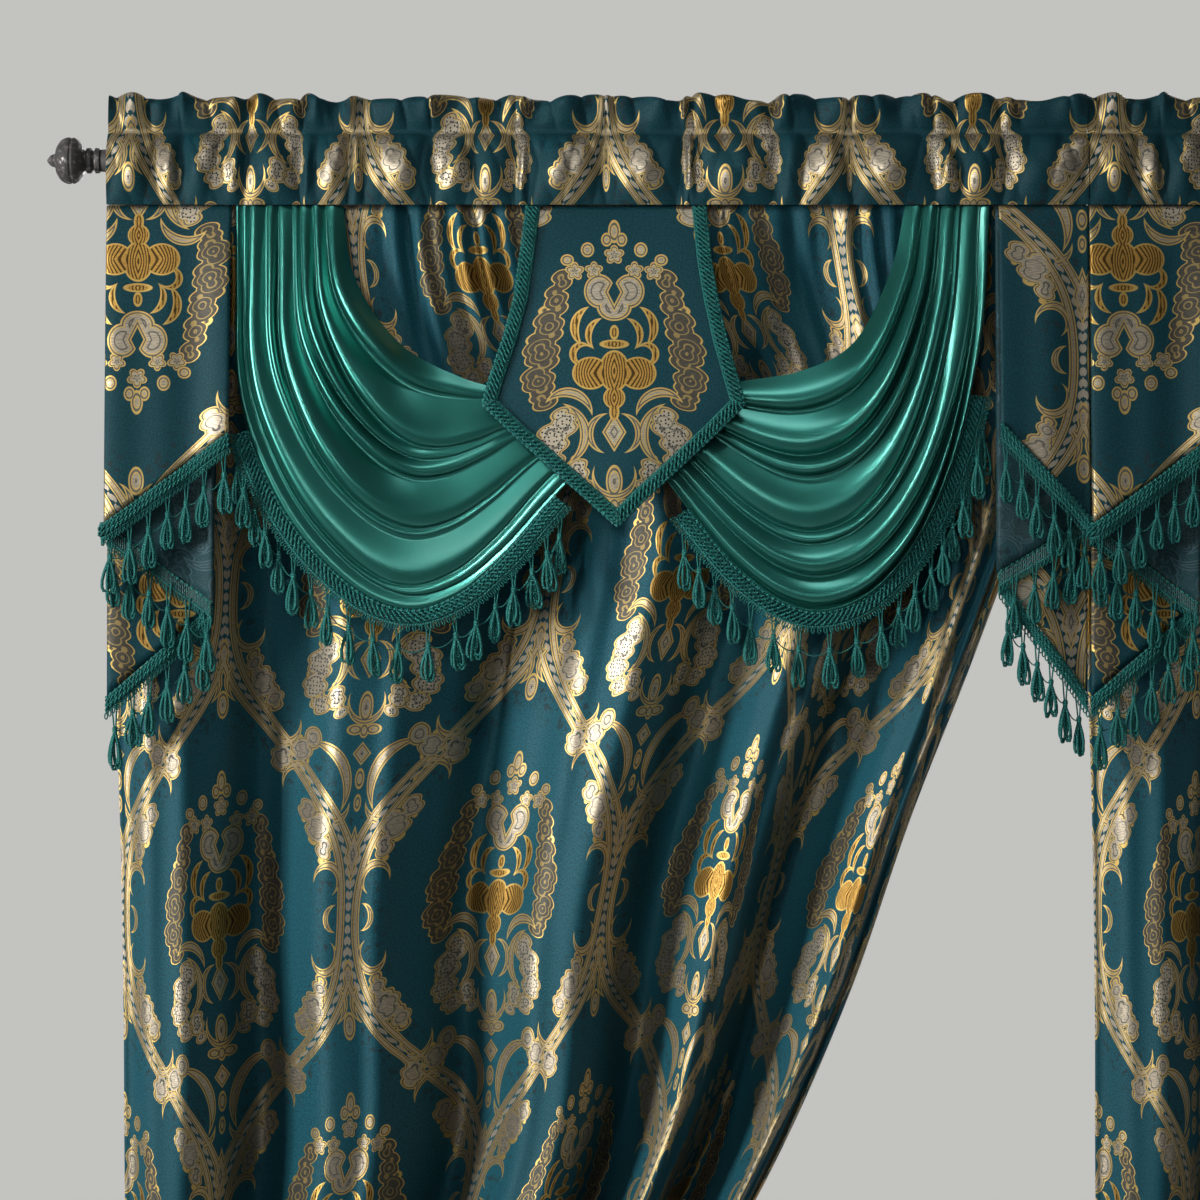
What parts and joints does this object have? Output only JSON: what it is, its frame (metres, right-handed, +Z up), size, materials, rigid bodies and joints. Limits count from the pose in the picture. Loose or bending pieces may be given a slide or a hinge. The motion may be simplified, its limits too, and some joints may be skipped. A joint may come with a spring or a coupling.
{
  "type": "jacquard curtains on a curtain rod",
  "caption": "Tied-back jacquard curtains with sewn-on satin swags, shields, cascades and tassel fringe, hung by rod pockets from a round rod with ball finials.",
  "frame": {"origin": "on the rod's axis, midway along it, where the curtains meet", "axes": "+X along the rod to the right as seen from the room, +Y to the wall, +Z up"},
  "size_m": [1.9666, 0.1565, 2.1375],
  "materials": {
    "jacquard": "teal woven ground with satin shine and damask motifs in taupe-silver and gold metallic yarn",
    "satin": "glossy blue-green satin",
    "trim": "dark teal rayon braid and looped tassels",
    "rod": "dark pewter paint",
    "finial": "dark pewter paint, rubbed and mottled"
  },
  "bodies": {
    "root": {"rod": "rod", "finial_left": "finial", "finial_right": "finial", "left_heading": "jacquard", "left_panel": "jacquard", "left_shield": "jacquard", "left_cascade_1": "jacquard", "left_cascade_2": "jacquard", "left_tie": "jacquard", "left_swag_1": "satin", "left_swag_2": "satin", "left_swag_1_fringe": "trim", "left_swag_2_fringe": "trim", "left_shield_braid": "trim", "left_cascade_1_fringe": "trim", "left_cascade_2_fringe": "trim", "right_heading": "jacquard", "right_panel": "jacquard", "right_shield": "jacquard", "right_cascade_1": "jacquard", "right_cascade_2": "jacquard", "right_tie": "jacquard", "right_swag_1": "satin", "right_swag_2": "satin", "right_swag_1_fringe": "trim", "right_swag_2_fringe": "trim", "right_shield_braid": "trim", "right_cascade_1_fringe": "trim", "right_cascade_2_fringe": "trim"}
  },
  "joints": []
}
